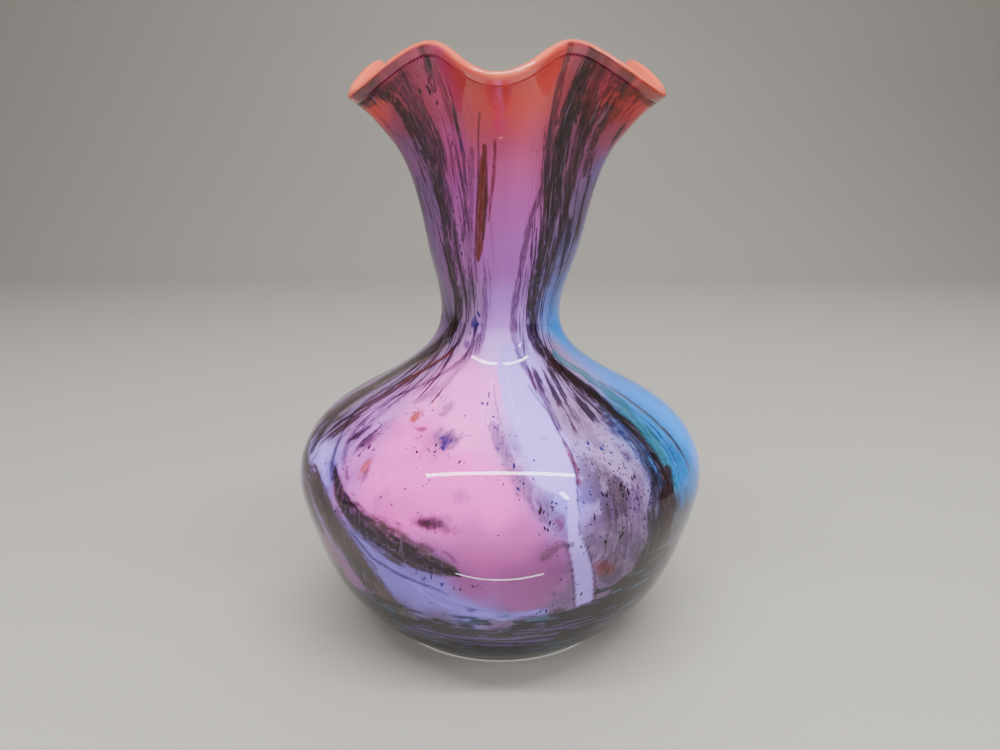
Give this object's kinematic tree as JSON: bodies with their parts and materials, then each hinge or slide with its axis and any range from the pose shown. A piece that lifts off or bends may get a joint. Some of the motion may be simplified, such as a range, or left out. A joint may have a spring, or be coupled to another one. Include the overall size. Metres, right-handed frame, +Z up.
{
  "type": "hand blown art glass vase",
  "caption": "Hand blown cased glass vase with a squat belly, narrow waist and ruffled flared mouth, coral inside and streaked pink and lavender outside.",
  "frame": {"origin": "centre of the ground base, on the plane it stands on", "axes": "+Z up out of the mouth, -Y towards the front ruffle, +X to the right seen from the front"},
  "size_m": [0.207, 0.207, 0.2792],
  "materials": {
    "clear_glass": "fire polished, ground base",
    "frit_glass": "crushed dark glass melted in",
    "opal_glass": "milky opal pink and lavender",
    "coral_glass": "glossy opaque coral"
  },
  "bodies": {
    "root": {"clear_outer_casing": "clear_glass", "frit_layer": "frit_glass", "opal_colour_casing": "opal_glass", "coral_inner_casing": "coral_glass"}
  },
  "joints": []
}
